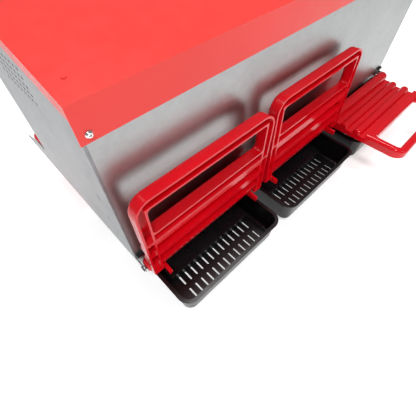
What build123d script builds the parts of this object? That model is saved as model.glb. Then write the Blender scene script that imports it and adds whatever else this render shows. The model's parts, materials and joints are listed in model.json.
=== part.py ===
from build123d import *
import math
import os

# Roll-away poultry nest box with three nests side by side.
# Millimetres. +X to the right, +Y from the egg side to the hens' side, +Z up.
# The origin is on the floor, midway between the front panel and the entrance panel.

# ---------------------------------------------------------------- driving sizes
nest_count = 3
nest_pitch = 250.0  # one nest to the next
nest_depth = 235.0  # outside of the front panel to outside of the entrance panel
porch_depth = 31.0  # how far the side panels run past the entrance panel
front_height = 269.0  # housing's bottom edge to its front top edge
roof_angle = 11.3  # the roof climbs towards the hens' side
floor_gap = 98.0  # floor to the housing's bottom edge
sheet = 1.2  # galvanised sheet
seat_gap = 0.2  # between sheets that lie on each other

# side panels
hem_depth = 7.0  # doubled front edge
hem_width = 3.0
flange_width = 20.0  # folded in along the bottom edge
ear_length = 122.0  # low ear beside the perches
ear_height = 45.0
ear_tip_height = 8.0
ear_slope_length = 88.0
vent_radius = 2.0
vent_pitch = 9.5
vent_columns = 9
vent_rows = 5
tab_slot_height = 12.0
tab_slot_pitch = 45.0
tab_slot_rows = 3
vent_setback = 140.0  # vents' middle behind the front panel
vent_drop = 56.0  # and below the roof

# front panel
bottom_hem = 5.0

# entrance panel
doorway_width = 190.0
doorway_height = 190.0
doorway_sill = 45.0
doorway_radius = 35.0

# egg baffle inside each nest
baffle_setback = 38.0  # behind the front panel's outer face
baffle_bottom = 20.0
baffle_height = 118.0
baffle_lip = 8.0

# roof
roof_sheet = 1.4
front_lip = 38.5
side_lip = 13.0
rear_lip = 18.0
roof_gap = 0.3  # between the lips and the panels they cover

# egg trays
tray_width = 228.0  # over the rim
tray_overhang_front = 97.0  # in front of the front panel
tray_back_gap = 7.0  # tray's back to the entrance panel
tray_shift = 2.0  # the trays sit a little to the right of the nests
tray_rim_drop = 34.0  # rim's top below the housing's bottom edge
tray_depth = 50.0
tray_wall = 2.2
tray_draft = 4.0
tray_corner = 22.0
rim_width = 4.0
rim_thickness = 2.2
tray_foot_radius = 5.0  # rounded edge round the floor
slot_width = 3.0
slot_length = 18.0
slot_pitch = 13.5
slots_across = 13
tray_slot_rows = 10
slot_row_pitch = 27.5
first_slot_row = 28.0  # front row's centre behind the tray's front rim
tray_play = 0.3  # rim to runner ledge

# sloping nest floor, loose in each tray
nest_floor_width = 190.0
nest_floor_sheet = 2.4
nest_floor_front_drop = 66.0  # its front lip below the housing's bottom edge
nest_floor_back_drop = 36.0
nest_floor_front = 33.0  # its front lip in front of the front panel
nest_floor_back_gap = 14.0
nest_floor_skirt = 13.0
nest_slot_rows = 7
lip_rib = 1.8
lip_rib_middles = (0.9, 4.5)  # behind the front lip

# folding frames: egg guards in front, perches behind
guard_width = 236.0
guard_reach = 162.5  # hinge axis to the handle's outer edge
guard_half_depth = 20.5  # hinge axis to the underside plane
guard_top = 1.0  # hinge axis to the handle bar's top
handle_bar = 16.0
guard_wall = 3.0
guard_corner = 24.0
window_corner = 6.0
bar_round = 6.8
bar_length = 16.0  # the bar along the window's near edge
deck_start = 21.0
deck_end = 98.5
deck_top = 10.5  # valleys between the rods, below the hinge axis
rod_radius = 9.5
rod_pitch = 29.0
first_rod = 33.0
rod_count = 2
rod_wall = 2.2
rod_end_round = 0.6  # share of a rod's radius
ridge_width = 10.4  # between two rods' hollows, on the underside
hollow_start = 12.0  # where the hollows begin to widen
arm_channel = 3.5  # the arms' shallow channel beside the rods
hinge_rod_radius = 12.0
hinge_rod_proud = 3.0
web_top = 5.5
web_thickness = 3.5
stop_tab_thickness = 5.0
stop_tab_reach = 30.0
stop_tab_inset = 21.0
stop_tab_near = 2.0  # behind the hinge axis
stop_tab_far = 10.0
hinge_offset = 16.0  # hinge axis in front of its panel
hinge_drop = 1.0  # hinge axis below the housing's bottom edge
guard_lifts = (90.0, 92.4, 0.0)  # how far each egg guard is raised at rest
perch_lift = 0.0

# hinges
pin_radius = 3.0
pin_clearance = 0.05
pin_bore_depth = 13.0
pin_engagement = 12.0
pin_head_radius = 4.5
pin_head_length = 1.6
ear_plate = 1.8
bracket_width = 18.0
bracket_plate = 1.8
bracket_nose = 7.0
clip_height = 5.0
clip_depth = 5.0
clip_gap = 2.0
clip_width = 14.0
clip_round = 0.3  # share of the catch's height

# tray runners and feet
runner_sheet = 1.5
runner_inset = 7.0
ledge_play = 0.5  # between a ledge and the tray's wall
runner_setback = 3.0
leg_sheet = 2.0
leg_width = 28.0
leg_top_drop = 12.0  # leg's top below the housing's bottom edge
leg_knee_drop = 40.0  # where it starts to lean in
foot_inset = 12.5  # foot's outer edge inside the side panel
leg_setbacks = (82.0, 192.0)
foot_length = 22.0
rubber_height = 3.0
rubber_inset = 3.0

# fasteners
roof_screw_radius = 3.9
roof_screw_head = 2.6
roof_screw_collar = 0.8
roof_screw_socket = 1.6
roof_screw_socket_depth = 1.3
roof_screw_taper = 40.0
roof_screw_inset = 9.0
roof_screw_drop = 30.0
rivet_radius = 2.4
rivet_head = 1.2
rivet_inset = 16.0
rivet_setback = 25.6
rivet_taper = 25.0
bracket_screw_radius = 2.6
bracket_screw_head = 1.4
bracket_screw_taper = 20.0
leg_bolt_radius = 4.0
leg_bolt_head = 2.4
leg_bolt_pitch = 14.0
leg_bolt_drop = 21.0

# ---------------------------------------------------------------- places
width = nest_count * nest_pitch
half_width = width / 2
front_y = -nest_depth / 2
entrance_y = nest_depth / 2
rear_y = entrance_y + porch_depth
base_z = floor_gap
roof_slope = math.tan(math.radians(roof_angle))
hinge_z = base_z - hinge_drop
front_hinge_y = front_y - hinge_offset
rear_hinge_y = entrance_y + hinge_offset
rim_z = base_z - tray_rim_drop
tray_front_y = front_y - tray_overhang_front
tray_back_y = entrance_y - sheet - tray_back_gap
tray_mid_y = (tray_front_y + tray_back_y) / 2
tray_length = tray_back_y - tray_front_y
nest_centres = [(n - (nest_count - 1) / 2) * nest_pitch for n in range(nest_count)]
nest_edges = [-half_width + n * nest_pitch for n in range(nest_count + 1)]

os.makedirs("parts", exist_ok=True)


def save(part, name):
    part.label = name
    export_step(part, "parts/" + name + ".step")


def wall_top(y):
    """Height of a panel's top edge where it meets the roof."""
    return base_z + front_height + (y - front_y) * roof_slope


# ---------------------------------------------------------------- side panels
def side_panel(side):
    """A galvanised side sheet: side is -1 on the left and +1 on the right."""
    outer_x = side * half_width
    face = Plane.YZ.offset(outer_x)
    inward = -side * sheet
    ear_end = rear_y + ear_length
    tab_y = front_y + baffle_setback + sheet / 2
    first_tab = base_z + baffle_bottom + tab_slot_height
    with BuildPart() as panel:
        with BuildSketch(face):
            with BuildLine():
                Polyline(
                    (front_y, base_z),
                    (ear_end, base_z),
                    (ear_end, base_z + ear_tip_height),
                    (ear_end - ear_slope_length, base_z + ear_height),
                    (rear_y, base_z + ear_height),
                    (rear_y, wall_top(rear_y)),
                    (front_y, wall_top(front_y)),
                    close=True,
                )
            make_face()
        extrude(amount=inward)
        # the front edge is folded back on itself
        with BuildSketch(face):
            with BuildLine():
                Polyline(
                    (front_y, base_z),
                    (front_y + hem_depth, base_z),
                    (front_y + hem_depth, wall_top(front_y + hem_depth)),
                    (front_y, wall_top(front_y)),
                    close=True,
                )
            make_face()
        extrude(amount=-side * hem_width)
        # the bottom flange that the runners hang from
        with BuildSketch(Plane.XY.offset(base_z)):
            with Locations((outer_x - side * flange_width / 2, (front_y + entrance_y) / 2)):
                Rectangle(flange_width, nest_depth - 2 * hem_depth)
        extrude(amount=sheet)
        # ventilation holes high up towards the hens' side
        vent_y = front_y + vent_setback
        vent_z = wall_top(vent_y) - vent_drop
        with BuildSketch(face):
            with Locations((vent_y, vent_z)):
                with GridLocations(vent_pitch, vent_pitch, vent_columns, vent_rows):
                    Circle(vent_radius)
        extrude(amount=inward, mode=Mode.SUBTRACT)
        # slots that the egg baffle's tabs show in
        with BuildSketch(face):
            for row in range(tab_slot_rows):
                with Locations((tab_y, first_tab + row * tab_slot_pitch)):
                    Rectangle(sheet + 2 * seat_gap, tab_slot_height)
        extrude(amount=inward, mode=Mode.SUBTRACT)
    return panel.part


save(side_panel(-1), "left_side_panel")
save(side_panel(1), "right_side_panel")

# ---------------------------------------------------------------- front and entrance panels
front_panel_width = width - 2 * (hem_width + seat_gap)
front_panel_height = front_height - seat_gap
with BuildPart() as front_panel:
    with BuildSketch(Plane.XZ.offset(-front_y - sheet)):
        with Locations((0, base_z + front_panel_height / 2)):
            Rectangle(front_panel_width, front_panel_height)
    extrude(amount=sheet)
    # the bottom edge is folded up behind for stiffness
    with BuildSketch(Plane.XZ.offset(-front_y - 2 * sheet)):
        with Locations((0, base_z + bottom_hem / 2)):
            Rectangle(front_panel_width, bottom_hem)
    extrude(amount=sheet)
    # the top edge is folded in under the roof
    with BuildSketch(Plane.XY.offset(base_z + front_panel_height)):
        with Locations((0, front_y + flange_width / 2)):
            Rectangle(front_panel_width, flange_width)
    extrude(amount=-sheet)
save(front_panel.part, "front_panel")

entrance_width = width - 2 * (sheet + seat_gap)
entrance_height = wall_top(entrance_y - sheet) - base_z - seat_gap
with BuildPart() as entrance_panel:
    with BuildSketch(Plane.XZ.offset(-entrance_y)):
        with Locations((0, base_z + entrance_height / 2)):
            Rectangle(entrance_width, entrance_height)
        for centre in nest_centres:
            with Locations((centre, base_z + doorway_sill + doorway_height / 2)):
                RectangleRounded(doorway_width, doorway_height, doorway_radius, mode=Mode.SUBTRACT)
    extrude(amount=sheet)
save(entrance_panel.part, "entrance_panel")


# ---------------------------------------------------------------- partitions and baffles
def partition(x):
    """The sheet between two nests."""
    start = front_y + 2 * sheet + seat_gap
    end = entrance_y - sheet - seat_gap
    with BuildPart() as wall:
        with BuildSketch(Plane.YZ.offset(x)):
            with BuildLine():
                Polyline(
                    (start, base_z),
                    (end, base_z),
                    (end, wall_top(end) - seat_gap),
                    (start + flange_width, wall_top(start + flange_width) - seat_gap),
                    (start + flange_width, wall_top(front_y) - 2 * sheet),
                    (start, wall_top(front_y) - 2 * sheet),
                    close=True,
                )
            make_face()
        extrude(amount=sheet / 2, both=True)
        with BuildSketch(Plane.XY.offset(base_z)):
            with Locations((x, (start + end) / 2)):
                Rectangle(flange_width, end - start)
        extrude(amount=sheet)
    return wall.part


for number, edge in enumerate(nest_edges[1:-1], start=1):
    save(partition(edge), "partition_" + str(number))

with BuildPart() as egg_baffles:
    for centre in nest_centres:
        baffle_width = nest_pitch - 2 * (sheet + seat_gap)
        baffle_y = front_y + baffle_setback
        middle_z = base_z + baffle_bottom + baffle_height / 2
        with BuildSketch(Plane.XZ.offset(-baffle_y - sheet)):
            with Locations((centre, middle_z)):
                Rectangle(baffle_width, baffle_height)
        extrude(amount=sheet)
        # a lip towards the hens rounds off the edge that the eggs pass under
        with BuildSketch(Plane.XY.offset(base_z + baffle_bottom)):
            with Locations((centre, baffle_y + baffle_lip / 2)):
                Rectangle(baffle_width, baffle_lip)
        extrude(amount=sheet)
save(egg_baffles.part, "egg_baffles")

# ---------------------------------------------------------------- roof
roof_front = front_y - roof_gap - roof_sheet
roof_rear = rear_y + roof_gap + roof_sheet
roof_half = half_width + roof_gap + roof_sheet
roof_rise = roof_sheet / math.cos(math.radians(roof_angle))


def roof_under(y):
    return wall_top(y) + seat_gap


with BuildPart() as roof:
    with BuildSketch(Plane.YZ):
        with BuildLine():
            Polyline(
                (roof_front, roof_under(roof_front) + roof_rise),
                (roof_rear, roof_under(roof_rear) + roof_rise),
                (roof_rear, roof_under(roof_rear) - rear_lip),
                (roof_rear - roof_sheet, roof_under(roof_rear) - rear_lip),
                (roof_rear - roof_sheet, roof_under(roof_rear - roof_sheet)),
                (roof_front + roof_sheet, roof_under(roof_front + roof_sheet)),
                (roof_front + roof_sheet, roof_under(roof_front) - front_lip),
                (roof_front, roof_under(roof_front) - front_lip),
                close=True,
            )
        make_face()
    extrude(amount=roof_half, both=True)
    for side in (-1, 1):
        with BuildSketch(Plane.YZ.offset(side * roof_half)):
            with BuildLine():
                Polyline(
                    (roof_front, roof_under(roof_front) + roof_rise),
                    (roof_rear, roof_under(roof_rear) + roof_rise),
                    (roof_rear, roof_under(roof_rear) - side_lip),
                    (roof_front, roof_under(roof_front) - side_lip),
                    close=True,
                )
            make_face()
        extrude(amount=-side * roof_sheet)
save(roof.part, "roof")

with BuildPart() as roof_screws:
    for facing, face_y, lip in ((-1, roof_front, front_lip), (1, roof_rear, rear_lip)):
        screw_z = roof_under(face_y) - lip * roof_screw_drop / front_lip
        seat = Plane(origin=(0, face_y, screw_z), x_dir=(1, 0, 0), z_dir=(0, facing, 0))
        spots = [(side * facing * (half_width - roof_screw_inset), 0) for side in (-1, 1)]
        with BuildSketch(seat):
            with Locations(*spots):
                Circle(roof_screw_radius)
        extrude(amount=roof_screw_collar)
        with BuildSketch(seat.offset(roof_screw_collar)):
            with Locations(*spots):
                Circle(roof_screw_radius)
        extrude(amount=roof_screw_head - roof_screw_collar, taper=roof_screw_taper)
        with BuildSketch(seat.offset(roof_screw_head)):
            with Locations(*spots):
                RegularPolygon(roof_screw_socket, 6)
        extrude(amount=-roof_screw_socket_depth, mode=Mode.SUBTRACT)
save(roof_screws.part, "roof_screws")

with BuildPart() as roof_rivets:
    for y in (front_y + rivet_setback, rear_y - rivet_setback):
        top_z = roof_under(y) + roof_rise
        lean = Vector(0, -math.sin(math.radians(roof_angle)), math.cos(math.radians(roof_angle)))
        for x in (-half_width + rivet_inset, half_width - rivet_inset):
            with BuildSketch(Plane(origin=(x, y, top_z), x_dir=(1, 0, 0), z_dir=lean)):
                Circle(rivet_radius)
            extrude(amount=rivet_head, taper=rivet_taper)
save(roof_rivets.part, "roof_rivets")


# ---------------------------------------------------------------- egg trays
def egg_tray(centre):
    """A black moulded tray: open top, rolled rim, slotted floor."""
    body_width = tray_width - 2 * rim_width
    body_length = tray_length - 2 * rim_width
    body_corner = tray_corner - rim_width
    rim_plane = Plane(origin=(centre, tray_mid_y, rim_z))
    with BuildPart() as hollow:
        with BuildSketch(rim_plane):
            inner = 2 * tray_wall
            RectangleRounded(body_width - inner, body_length - inner, body_corner - tray_wall)
        extrude(amount=-(tray_depth - tray_wall), taper=tray_draft)
        fillet(hollow.faces().sort_by(Axis.Z)[0].edges(), tray_foot_radius)
    with BuildPart() as tray:
        with BuildSketch(rim_plane):
            RectangleRounded(body_width, body_length, body_corner)
        extrude(amount=-tray_depth, taper=tray_draft)
        fillet(tray.faces().sort_by(Axis.Z)[0].edges(), tray_foot_radius)
        with BuildSketch(rim_plane):
            RectangleRounded(tray_width, tray_length, tray_corner)
        extrude(amount=-rim_thickness)
        add(hollow.part, mode=Mode.SUBTRACT)
        floor_plane = Plane(origin=(centre, tray_front_y + first_slot_row, rim_z - tray_depth))
        with BuildSketch(floor_plane):
            with Locations((0, slot_row_pitch * (tray_slot_rows - 1) / 2)):
                with GridLocations(slot_pitch, slot_row_pitch, slots_across, tray_slot_rows):
                    SlotOverall(slot_length, slot_width, rotation=90)
        extrude(amount=2 * tray_wall, mode=Mode.SUBTRACT)
    return tray.part


def nest_floor(centre):
    """A loose slotted floor that slopes down to the egg trough."""
    front = front_y - nest_floor_front
    back = tray_back_y - nest_floor_back_gap
    front_z = base_z - nest_floor_front_drop
    back_z = base_z - nest_floor_back_drop
    run = back - front
    rise = nest_floor_sheet * (back_z - front_z) / run
    slope_length = math.hypot(run, back_z - front_z)
    up_slope = Vector(0, run, back_z - front_z)
    with BuildPart() as mat:
        with BuildSketch(Plane.YZ.offset(centre)):
            with BuildLine():
                Polyline(
                    (front, front_z),
                    (back, back_z),
                    (back, back_z - nest_floor_skirt),
                    (back - nest_floor_sheet, back_z - nest_floor_skirt),
                    (back - nest_floor_sheet, back_z - nest_floor_sheet - rise),
                    (front + nest_floor_sheet, front_z - nest_floor_sheet + rise),
                    (front + nest_floor_sheet, front_z - nest_floor_skirt),
                    (front, front_z - nest_floor_skirt),
                    close=True,
                )
            make_face()
        extrude(amount=nest_floor_width / 2, both=True)
        deck = Plane(origin=(centre, front, front_z), x_dir=(1, 0, 0), z_dir=Vector(1, 0, 0).cross(up_slope))
        # two low ribs along the front lip
        with BuildSketch(deck):
            for middle in lip_rib_middles:
                with Locations((0, middle)):
                    Rectangle(nest_floor_width, lip_rib)
        extrude(amount=lip_rib)
        with BuildSketch(deck):
            with Locations((0, slope_length / 2)):
                with GridLocations(slot_pitch, slot_row_pitch, slots_across, nest_slot_rows):
                    SlotOverall(slot_length, slot_width, rotation=90)
        extrude(amount=-2 * nest_floor_sheet, mode=Mode.SUBTRACT)
    return mat.part


for number, centre in enumerate(nest_centres, start=1):
    save(egg_tray(centre + tray_shift), "egg_tray_" + str(number))
    save(nest_floor(centre + tray_shift), "nest_floor_" + str(number))


# ---------------------------------------------------------------- folding frames
def folding_frame(centre, hinge_y, facing, lift):
    """A moulded frame with a handle, a window bar and rods, hinged along its thickest rod.

    facing is -1 for an egg guard in front and +1 for a perch behind. lift is 0 when the
    frame lies level and 90 when it stands up.
    """
    angle = math.radians(lift)
    out = Vector(0, facing * math.cos(angle), math.sin(angle))
    up = Vector(0, -facing * math.sin(angle), math.cos(angle))
    across = out.cross(up)
    hinge = Vector(centre, hinge_y, hinge_z)
    side_view = Plane(origin=hinge, x_dir=out, z_dir=across)
    upward = Axis(hinge, up)

    def plan(height):
        return Plane(origin=hinge + up * height, x_dir=across, z_dir=up)

    frame_height = guard_half_depth - guard_top
    window_width = guard_width - 2 * handle_bar
    window_end = guard_reach - handle_bar
    bar_start = deck_end - bar_length
    bar_place = deck_end - bar_length / 2
    bar_height = -guard_top - bar_length / 2
    rods = [first_rod + n * rod_pitch for n in range(rod_count)]
    hollow_half = (rod_pitch - ridge_width) / 2
    below = guard_half_depth + guard_wall
    with BuildPart() as frame:
        # two arms, a handle bar and the bar along the window, rounded on top
        with BuildSketch(plan(-guard_half_depth)) as outline:
            with Locations((0, guard_reach / 2)):
                Rectangle(guard_width, guard_reach)
            fillet(outline.vertices().group_by(Axis.Y)[-1], guard_corner)
            with Locations((0, (deck_end + window_end) / 2)):
                RectangleRounded(window_width, window_end - deck_end, window_corner, mode=Mode.SUBTRACT)
        extrude(amount=frame_height)
        fillet(frame.faces().sort_by(upward)[-1].edges(), bar_round)
        # beside the rods the arms and the deck are lower
        with BuildSketch(side_view):
            with Locations((bar_start / 2, -deck_top / 2)):
                Rectangle(bar_start, deck_top)
            with Locations((deck_start / 2, -(web_top + web_thickness + below) / 2)):
                Rectangle(deck_start, below - web_top - web_thickness)
        extrude(amount=guard_width / 2, both=True, mode=Mode.SUBTRACT)
        # the arms' ends beside the hinge rod
        arm_middle = (guard_width - handle_bar) / 2
        for side in (-1, 1):
            with BuildSketch(side_view.offset(side * arm_middle)):
                with BuildLine():
                    Polyline(
                        (0, -web_top),
                        (deck_start, -deck_top),
                        (deck_start, -guard_half_depth),
                        (0, -guard_half_depth),
                        close=True,
                    )
                make_face()
            extrude(amount=handle_bar / 2, both=True)
        # the web between the hinge rod and the deck
        with BuildSketch(side_view):
            with Locations(((deck_start + guard_wall) / 2, -web_top - (web_thickness + guard_wall) / 2)):
                Rectangle(deck_start + guard_wall, web_thickness + guard_wall)
        extrude(amount=guard_width / 2, both=True)
        # rods with domed ends, and the thicker rod that turns on the pins
        spots = [(place, -rod_radius, rod_radius, guard_width / 2) for place in rods]
        spots.append((0, 0, hinge_rod_radius, guard_width / 2 + hinge_rod_proud))
        for place, height, radius, half in spots:
            rod_plane = Plane(origin=hinge + out * place + up * height, x_dir=across, z_dir=up)
            with BuildSketch(rod_plane) as section:
                with Locations((0, radius / 2)):
                    Rectangle(2 * half, radius)
                fillet(section.vertices().group_by(Axis.Y)[-1], radius * rod_end_round)
            revolve(axis=Axis(rod_plane.origin, across))
        # deep channel in the underside of the handle and of the arms beside the window
        with BuildSketch(plan(-guard_half_depth)) as channel:
            with Locations((0, (bar_start + guard_reach) / 2)):
                Rectangle(guard_width - 2 * guard_wall, guard_reach - bar_start - 2 * guard_wall)
            fillet(channel.vertices().group_by(Axis.Y)[-1], guard_corner - guard_wall)
            with Locations((0, window_end / 2)):
                Rectangle(window_width + 2 * guard_wall, window_end + 2 * guard_wall, mode=Mode.SUBTRACT)
        extrude(amount=frame_height - 2 * guard_wall, mode=Mode.SUBTRACT)
        # the rods and the window bar are hollow from below, in the deck and in the arms
        deck_half = window_width / 2
        arm_width = handle_bar - 2 * guard_wall
        for middle, half in ((0, deck_half), (-arm_middle, arm_width / 2), (arm_middle, arm_width / 2)):
            with BuildSketch(side_view.offset(middle)):
                for place in rods:
                    with Locations((place, -rod_radius)):
                        Circle(rod_radius - rod_wall)
                    near = max(place - hollow_half, deck_start + guard_wall)
                    with BuildLine():
                        Polyline(
                            (place - rod_radius + rod_wall, -rod_radius),
                            (place + rod_radius - rod_wall, -rod_radius),
                            (place + rod_radius - rod_wall, -hollow_start),
                            (place + hollow_half, -below),
                            (near, -below),
                            (place - rod_radius + rod_wall, -hollow_start),
                            close=True,
                        )
                    make_face()
                with Locations((bar_place, bar_height)):
                    Circle(bar_length / 2 - guard_wall)
                with BuildLine():
                    Polyline(
                        (bar_start + guard_wall, bar_height),
                        (deck_end - guard_wall, bar_height),
                        (deck_end - guard_wall, -below),
                        (rods[-1] + hollow_half + ridge_width, -below),
                        (bar_start + guard_wall, -hollow_start),
                        close=True,
                    )
                make_face()
            extrude(amount=half, both=True, mode=Mode.SUBTRACT)
        # shallow channel that runs on along the arms
        with BuildSketch(plan(-guard_half_depth)):
            with Locations((-arm_middle, bar_start / 2), (arm_middle, bar_start / 2)):
                Rectangle(arm_width, bar_start - 2 * guard_wall)
        extrude(amount=arm_channel, mode=Mode.SUBTRACT)
        # stop tabs behind the hinge rod
        tab_x = guard_width / 2 - stop_tab_inset
        for side in (-1, 1):
            with BuildSketch(side_view.offset(side * tab_x)):
                with BuildLine():
                    Polyline(
                        (-stop_tab_far, 0),
                        (stop_tab_near, 0),
                        (-stop_tab_near, -stop_tab_reach),
                        (-stop_tab_far, -stop_tab_reach),
                        close=True,
                    )
                make_face()
            extrude(amount=stop_tab_thickness / 2, both=True)
        # bores for the hinge pins
        for side in (-1, 1):
            rod_half = guard_width / 2 + hinge_rod_proud
            mouth = Plane(origin=hinge + across * side * rod_half, x_dir=up, z_dir=across * -side)
            with BuildSketch(mouth):
                Circle(pin_radius + pin_clearance)
            extrude(amount=pin_bore_depth, mode=Mode.SUBTRACT)
    return frame.part


for number, (centre, lift) in enumerate(zip(nest_centres, guard_lifts), start=1):
    save(folding_frame(centre, front_hinge_y, -1, lift), "egg_guard_" + str(number))
for number, centre in enumerate(nest_centres, start=1):
    save(folding_frame(centre, rear_hinge_y, 1, perch_lift), "perch_" + str(number))


# ---------------------------------------------------------------- hinge brackets and pins
def bracket_x(index, facing):
    """The ear's middle: on the nest edge, or just inside it at the two ends.

    Behind, the end ears stand inside the side panels' porch.
    """
    inset = ear_plate / 2 + seat_gap + (sheet if facing > 0 else 0)
    if index == 0:
        return nest_edges[0] + inset
    if index == nest_count:
        return nest_edges[-1] - inset
    return nest_edges[index]


def plate_x(index, facing):
    """The middle of the plate behind an ear, which runs inward from the end ears."""
    shift = (bracket_width - ear_plate) / 2
    if index == 0:
        return bracket_x(index, facing) + shift
    if index == nest_count:
        return bracket_x(index, facing) - shift
    return bracket_x(index, facing)


def hinge_brackets(panel_y, facing):
    """One galvanised ear at each nest edge, screwed to the panel's face."""
    hinge_y = panel_y + facing * hinge_offset
    with BuildPart() as brackets:
        for index in range(nest_count + 1):
            x = bracket_x(index, facing)
            with BuildSketch(Plane.YZ.offset(x - ear_plate / 2)):
                with Locations(((panel_y + hinge_y) / 2, hinge_z)):
                    Rectangle(hinge_offset, 2 * bracket_nose)
                with Locations((hinge_y, hinge_z)):
                    Circle(bracket_nose)
            extrude(amount=ear_plate)
            spot = (plate_x(index, facing), panel_y, base_z)
            with BuildSketch(Plane(origin=spot, x_dir=(1, 0, 0), z_dir=(0, facing, 0))):
                Rectangle(bracket_width, 2 * (bracket_nose + hinge_drop))
            extrude(amount=bracket_plate)
            bore = Plane(origin=(x - ear_plate, hinge_y, hinge_z), x_dir=(0, 1, 0), z_dir=(1, 0, 0))
            with BuildSketch(bore):
                Circle(pin_radius)
            extrude(amount=2 * ear_plate, mode=Mode.SUBTRACT)
    return brackets.part


def hinge_pins(panel_y, facing):
    """Black pins pressed into the ears; the frames' thick rods turn on them."""
    hinge_y = panel_y + facing * hinge_offset
    reach = (nest_pitch - guard_width) / 2 - hinge_rod_proud + pin_engagement
    head_room = pin_head_length if facing < 0 else 0
    with BuildPart() as pins:
        for index in range(nest_count + 1):
            start = nest_edges[index] - reach
            end = nest_edges[index] + reach
            head = None
            if index == 0:
                start = bracket_x(index, facing) - ear_plate / 2 - head_room
                head = start
            if index == nest_count:
                end = bracket_x(index, facing) + ear_plate / 2 + head_room
                head = end - head_room
            with BuildSketch(Plane(origin=(start, hinge_y, hinge_z), x_dir=(0, 1, 0), z_dir=(1, 0, 0))):
                Circle(pin_radius)
            extrude(amount=end - start)
            if head is not None and head_room > 0:
                with BuildSketch(Plane(origin=(head, hinge_y, hinge_z), x_dir=(0, 1, 0), z_dir=(1, 0, 0))):
                    Circle(pin_head_radius)
                extrude(amount=head_room)
    return pins.part


def catch_blocks(panel_y, facing):
    """Black plastic catches above the ears, which steady the raised frames."""
    middle_z = hinge_z + hinge_rod_radius + clip_gap + clip_height / 2
    with BuildPart() as catches:
        for index in range(nest_count + 1):
            spot = (plate_x(index, facing), panel_y, middle_z)
            with BuildSketch(Plane(origin=spot, x_dir=(1, 0, 0), z_dir=(0, facing, 0))):
                RectangleRounded(clip_width, clip_height, clip_height * clip_round)
            extrude(amount=clip_depth)
    return catches.part


save(hinge_brackets(front_y, -1), "front_hinge_brackets")
save(hinge_brackets(entrance_y, 1), "rear_hinge_brackets")
save(hinge_pins(front_y, -1), "front_hinge_pins")
save(hinge_pins(entrance_y, 1), "rear_hinge_pins")
save(catch_blocks(front_y, -1), "front_catches")
save(catch_blocks(entrance_y, 1), "rear_catches")


# ---------------------------------------------------------------- tray runners
# the ledges reach under the rims, from the nest edge to just short of the trays' walls
side_room = (nest_pitch - tray_width) / 2 + rim_width - ledge_play
left_reach = side_room + tray_shift
right_reach = side_room - tray_shift


def runner(index):
    """A hanging rail: a top flange, a web and a ledge under the tray rims."""
    x = nest_edges[index]
    start = front_y + runner_setback
    end = entrance_y - sheet - runner_setback
    ledge_top = rim_z - rim_thickness - tray_play
    middle_y = (start + end) / 2
    low = x - right_reach if index > 0 else x + runner_inset
    high = x + left_reach if index < nest_count else x - runner_inset
    web = x
    if index == 0:
        web = low + runner_sheet / 2
    if index == nest_count:
        web = high - runner_sheet / 2
    with BuildPart() as rail:
        for top in (ledge_top, base_z):
            with BuildSketch(Plane.XY.offset(top)):
                with Locations(((low + high) / 2, middle_y)):
                    Rectangle(high - low, end - start)
            extrude(amount=-runner_sheet)
        with BuildSketch(Plane.XY.offset(base_z)):
            with Locations((web, middle_y)):
                Rectangle(runner_sheet, end - start)
        extrude(amount=ledge_top - base_z)
    return rail.part


runner_names = ["left_runner", "inner_runner_1", "inner_runner_2", "right_runner"]
for index, name in enumerate(runner_names):
    save(runner(index), name)

# ---------------------------------------------------------------- feet
leg_inset = runner_inset - leg_sheet
foot_top = rubber_height + leg_sheet


def leg(side, setback):
    """A folded foot on the outside of a runner's web, leaning in to a foot under the tray."""
    outer = side * (half_width - leg_inset)
    toe = side * (half_width - foot_inset)
    sole = side * (half_width - foot_inset - foot_length)
    inner = outer - side * leg_sheet
    heel = toe - side * leg_sheet
    y = front_y + setback + leg_width / 2
    with BuildPart() as foot:
        with BuildSketch(Plane.XZ.offset(-y)):
            with BuildLine():
                Polyline(
                    (outer, base_z - leg_top_drop),
                    (inner, base_z - leg_top_drop),
                    (inner, base_z - leg_knee_drop),
                    (heel, foot_top),
                    (sole, foot_top),
                    (sole, rubber_height),
                    (toe, rubber_height),
                    (outer, base_z - leg_knee_drop),
                    close=True,
                )
            make_face()
        extrude(amount=leg_width / 2, both=True)
    return foot.part


leg_names = {
    (-1, 0): "front_left_leg",
    (1, 0): "front_right_leg",
    (-1, 1): "rear_left_leg",
    (1, 1): "rear_right_leg",
}
for (side, place), name in leg_names.items():
    save(leg(side, leg_setbacks[place]), name)

with BuildPart() as rubber_feet:
    with BuildSketch(Plane.XY):
        for side, place in leg_names:
            x = side * (half_width - foot_inset - foot_length / 2)
            y = front_y + leg_setbacks[place] + leg_width / 2
            with Locations((x, y)):
                RectangleRounded(foot_length - rubber_inset, leg_width - rubber_inset, rubber_inset)
    extrude(amount=rubber_height)
save(rubber_feet.part, "rubber_feet")

# ---------------------------------------------------------------- small fasteners
with BuildPart() as bracket_screws:
    for facing, panel_y in ((-1, front_y), (1, entrance_y)):
        for index in range(nest_count + 1):
            middle = plate_x(index, facing)
            spots = [middle - bracket_width / 3, middle + bracket_width / 3]
            ear = bracket_x(index, facing)
            for x in [spot for spot in spots if abs(spot - ear) > bracket_screw_radius + ear_plate]:
                seat = Vector(x, panel_y + facing * bracket_plate, base_z)
                with BuildSketch(Plane(origin=seat, x_dir=(1, 0, 0), z_dir=(0, facing, 0))):
                    Circle(bracket_screw_radius)
                extrude(amount=bracket_screw_head, taper=bracket_screw_taper)
save(bracket_screws.part, "bracket_screws")

with BuildPart() as leg_bolts:
    for side, place in leg_names:
        x = side * (half_width - leg_inset)
        y = front_y + leg_setbacks[place] + leg_width / 2
        seat = Plane(origin=(x, y, base_z - leg_bolt_drop), x_dir=(0, 1, 0), z_dir=(side, 0, 0))
        with BuildSketch(seat):
            with GridLocations(leg_bolt_pitch, leg_bolt_pitch, 2, 1):
                RegularPolygon(leg_bolt_radius, 6)
        extrude(amount=leg_bolt_head)
save(leg_bolts.part, "leg_bolts")
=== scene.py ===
import json
import math

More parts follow.
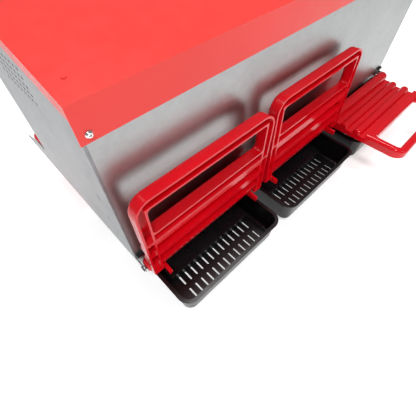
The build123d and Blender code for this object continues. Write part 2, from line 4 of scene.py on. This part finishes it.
import bpy
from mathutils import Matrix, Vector

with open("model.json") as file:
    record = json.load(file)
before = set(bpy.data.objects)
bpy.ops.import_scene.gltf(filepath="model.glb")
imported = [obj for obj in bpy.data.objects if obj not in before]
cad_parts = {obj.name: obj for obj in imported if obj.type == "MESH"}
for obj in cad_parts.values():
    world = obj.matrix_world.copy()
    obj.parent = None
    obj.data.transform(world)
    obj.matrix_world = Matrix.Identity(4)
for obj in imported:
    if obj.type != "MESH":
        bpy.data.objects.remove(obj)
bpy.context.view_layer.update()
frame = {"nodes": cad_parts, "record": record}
nodes = frame["nodes"]
scene = bpy.context.scene
scene.view_settings.view_transform = "Standard"

# ------------------------------------------------------------ camera
camera_place = (-0.42296, -0.32440, 0.49397)
camera_turn = (37.168, 1.150, -43.318)
camera_lens = 24.687
camera_data = bpy.data.cameras.new("camera")
camera_data.lens = camera_lens
camera_data.sensor_width = 36.0
camera_data.shift_x = 0.0118
camera_data.shift_y = -0.0234
camera_data.clip_start = 0.01
camera_data.clip_end = 50.0
camera = bpy.data.objects.new("camera", camera_data)
camera.location = camera_place
camera.rotation_euler = [math.radians(a) for a in camera_turn]
scene.collection.objects.link(camera)
scene.camera = camera


# ------------------------------------------------------------ node helpers
class Graph:
    """A material's node tree, with short calls for the nodes used here."""

    def __init__(self, name):
        self.material = bpy.data.materials.new(name)
        self.material.use_nodes = True
        self.tree = self.material.node_tree
        self.tree.nodes.clear()
        self.output = self.tree.nodes.new("ShaderNodeOutputMaterial")
        self.shader = self.tree.nodes.new("ShaderNodeBsdfPrincipled")
        self.link(self.shader.outputs[0], self.output.inputs["Surface"])
        coordinates = self.tree.nodes.new("ShaderNodeTexCoord")
        self.place = coordinates.outputs["Object"]

    def link(self, source, target):
        self.tree.links.new(source, target)

    def set(self, **values):
        for name, value in values.items():
            self.shader.inputs[name.replace("_", " ")].default_value = value

    def stretch(self, scale):
        node = self.tree.nodes.new("ShaderNodeMapping")
        node.inputs["Scale"].default_value = scale
        self.link(self.place, node.inputs["Vector"])
        return node.outputs[0]

    def noise(self, scale, detail=3.0, rough=0.5, vector=None):
        node = self.tree.nodes.new("ShaderNodeTexNoise")
        node.inputs["Scale"].default_value = scale
        node.inputs["Detail"].default_value = detail
        node.inputs["Roughness"].default_value = rough
        self.link(vector or self.place, node.inputs["Vector"])
        return node.outputs[0]

    def cells(self, scale):
        node = self.tree.nodes.new("ShaderNodeTexVoronoi")
        node.inputs["Scale"].default_value = scale
        self.link(self.place, node.inputs["Vector"])
        return node.outputs["Color"]

    def grey(self, colour):
        node = self.tree.nodes.new("ShaderNodeSeparateColor")
        self.link(colour, node.inputs[0])
        return node.outputs[0]

    def spread(self, value, low, high, start=0.3, end=0.7):
        node = self.tree.nodes.new("ShaderNodeMapRange")
        self.link(value, node.inputs["Value"])
        node.inputs["From Min"].default_value = start
        node.inputs["From Max"].default_value = end
        node.inputs["To Min"].default_value = low
        node.inputs["To Max"].default_value = high
        return node.outputs[0]

    def mix(self, share, one, two):
        node = self.tree.nodes.new("ShaderNodeMix")
        node.data_type = "RGBA"
        for socket, value in (("Factor", share), ("A", one), ("B", two)):
            slots = [s for s in node.inputs if s.name == socket and s.enabled]
            if isinstance(value, (int, float)):
                slots[0].default_value = value
            elif isinstance(value, tuple):
                slots[0].default_value = (*value, 1.0)
            else:
                self.link(value, slots[0])
        return [s for s in node.outputs if s.enabled][0]

    def bump(self, height, strength, distance, below=None):
        node = self.tree.nodes.new("ShaderNodeBump")
        node.inputs["Strength"].default_value = strength
        node.inputs["Distance"].default_value = distance
        self.link(height, node.inputs["Height"])
        if below is not None:
            self.link(below, node.inputs["Normal"])
        return node.outputs[0]

    def to(self, socket, source):
        self.link(source, self.shader.inputs[socket])


# ------------------------------------------------------------ materials
def scaled(tone, share):
    return tuple(share * c for c in tone)


def galvanised(name, tone, smooth, rough):
    """Zinc-coated sheet: soft spangles, a fine rolling grain and cloudy patches."""
    g = Graph(name)
    g.set(Metallic=0.92, IOR=1.5)
    spangle = g.grey(g.cells(150.0))
    cloud = g.noise(7.0, 4.0)
    grain = g.noise(24.0, 3.0)
    patches = g.mix(g.spread(cloud, 0.0, 1.0), scaled(tone, 0.94), scaled(tone, 1.05))
    sparkle = g.mix(g.spread(spangle, 0.0, 0.05, 0.0, 1.0), patches, (0.9, 0.92, 0.94))
    g.to("Base Color", sparkle)
    worn = g.mix(g.spread(grain, 0.0, 1.0), (smooth,) * 3, (rough,) * 3)
    g.to("Roughness", g.grey(worn))
    fine = g.bump(spangle, 0.05, 0.0004)
    g.to("Normal", g.bump(grain, 0.03, 0.0005, fine))
    return g.material


def powder_coat(name, tone):
    """Satin powder coat with a faint orange peel."""
    g = Graph(name)
    g.set(IOR=1.4, Coat_Weight=0.08, Coat_Roughness=0.18)
    cloud = g.noise(5.0, 3.0)
    g.to("Base Color", g.mix(g.spread(cloud, 0.0, 1.0), scaled(tone, 0.95), scaled(tone, 1.04)))
    g.to("Roughness", g.spread(g.noise(60.0, 2.0), 0.30, 0.40))
    g.to("Normal", g.bump(g.noise(700.0, 2.0), 0.10, 0.0004))
    return g.material


def moulded(name, tone, lift, smooth, rough, peel):
    """Injection-moulded plastic with flow marks and a fine surface texture."""
    g = Graph(name)
    g.set(IOR=1.44)
    flow = g.noise(9.0, 3.0, vector=g.stretch((1.0, 2.2, 2.2)))
    g.to("Base Color", g.mix(g.spread(flow, 0.0, 1.0), tone, scaled(tone, lift)))
    g.to("Roughness", g.spread(g.noise(35.0, 4.0), smooth, rough))
    g.to("Normal", g.bump(g.noise(900.0, 3.0), peel, 0.0003))
    return g.material


def zinc_plate(name):
    """Bright plated steel with fine grain."""
    g = Graph(name)
    g.set(Metallic=1.0, IOR=1.5)
    g.to("Base Color", g.mix(g.spread(g.noise(300.0), 0.0, 1.0), (0.72, 0.72, 0.70), (0.86, 0.86, 0.86)))
    g.to("Roughness", g.spread(g.noise(180.0), 0.16, 0.30))
    g.to("Normal", g.bump(g.noise(500.0), 0.05, 0.0002))
    return g.material


looks = {
    "galvanised_sheet": galvanised("galvanised_sheet", (0.37, 0.385, 0.385), 0.31, 0.36),
    "galvanised_brackets": galvanised("galvanised_brackets", (0.52, 0.54, 0.53), 0.34, 0.46),
    "red_paint": powder_coat("red_paint", (0.97, 0.055, 0.045)),
    "red_plastic": moulded("red_plastic", (0.72, 0.003, 0.011), 1.15, 0.09, 0.16, 0.03),
    "black_plastic": moulded("black_plastic", (0.004, 0.004, 0.005), 1.5, 0.24, 0.34, 0.12),
    "black_fittings": moulded("black_fittings", (0.012, 0.012, 0.012), 1.4, 0.30, 0.42, 0.10),
    "bright_fasteners": zinc_plate("bright_fasteners"),
    "rubber": moulded("rubber", (0.018, 0.018, 0.018), 1.3, 0.62, 0.75, 0.20),
}
# the side sheets get a darker copy of the galvanised sheet tone, painted shade for the sides turned away
# from the light, with a slightly rougher finish
shaded_side_sheets = galvanised("galvanised_sides_painted_shade", (0.24, 0.25, 0.26), 0.34, 0.40)
for part in frame["record"]["subparts"]:
    piece = nodes[part["node"]]
    piece.data.materials.clear()
    # painted shade: the left and right side panels take the darker copy of the galvanised sheet
    if part["node"] in ("left_side_panel", "right_side_panel"):
        piece.data.materials.append(shaded_side_sheets)
    else:
        piece.data.materials.append(looks[part["material_slot"]])


# ------------------------------------------------------------ folded and moulded edges
frame_edge = 0.0009
roof_edge = 0.0013
tray_edge = 0.0008
nest_floor_edge = 0.0007
sheet_edge = 0.0003
round_angle = 40.0
fine_angle = 50.0


def soften(piece, width, segments, angle):
    """Round the sharp edges of a piece with a bevel."""
    edge = piece.modifiers.new("edges", "BEVEL")
    edge.width = width
    edge.segments = segments
    edge.limit_method = "ANGLE"
    edge.angle_limit = math.radians(angle)
    edge.use_clamp_overlap = True
    edge.harden_normals = False


for part in frame["record"]["subparts"]:
    name = part["node"]
    if part["material_slot"] == "red_plastic":
        soften(nodes[name], frame_edge, 3, round_angle)
    elif name == "roof":
        soften(nodes[name], roof_edge, 3, round_angle)
    elif name.startswith("egg_tray"):
        soften(nodes[name], tray_edge, 2, fine_angle)
    elif name.startswith("nest_floor"):
        soften(nodes[name], nest_floor_edge, 2, fine_angle)
    elif part["material_slot"] in ("galvanised_sheet", "galvanised_brackets"):
        soften(nodes[name], sheet_edge, 2, fine_angle)


# ------------------------------------------------------------ floor and light
floor_size = 12.0
floor_glow = 0.55
world_strength = 0.22
bpy.ops.mesh.primitive_plane_add(size=floor_size, location=(0.0, 0.0, 0.0))
floor = bpy.context.object
floor.name = "floor"
paper = Graph("floor_paper")
paper.set(Roughness=0.85)
mottle = paper.spread(paper.noise(3.0), 0.0, 1.0)
paper.to("Base Color", paper.mix(mottle, (0.93, 0.93, 0.93), (0.95, 0.95, 0.95)))
paper.set(Emission_Color=(1.0, 1.0, 1.0, 1.0), Emission_Strength=floor_glow)
floor.data.materials.append(paper.material)

world = bpy.data.worlds.new("studio")
world.use_nodes = True
world.node_tree.nodes["Background"].inputs["Color"].default_value = (1.0, 1.0, 1.0, 1.0)
world.node_tree.nodes["Background"].inputs["Strength"].default_value = world_strength
scene.world = world


def softbox(name, place, aim, size, power):
    """A rectangular area light turned towards a point."""
    data = bpy.data.lights.new(name, "AREA")
    data.shape = "RECTANGLE"
    data.size = size[0]
    data.size_y = size[1]
    data.energy = power
    lamp = bpy.data.objects.new(name, data)
    lamp.location = place
    lamp.rotation_euler = (Vector(aim) - Vector(place)).to_track_quat("-Z", "Y").to_euler()
    scene.collection.objects.link(lamp)


softbox("key", (-0.9, -0.9, 2.4), (0.0, 0.0, 0.2), (0.55, 0.3), 22.0)
softbox("strip", (0.6, -1.5, 1.3), (0.0, -0.1, 0.1), (1.6, 0.08), 3.5)
softbox("top", (0.3, 0.3, 2.6), (0.0, 0.0, 0.2), (1.4, 0.6), 28.0)
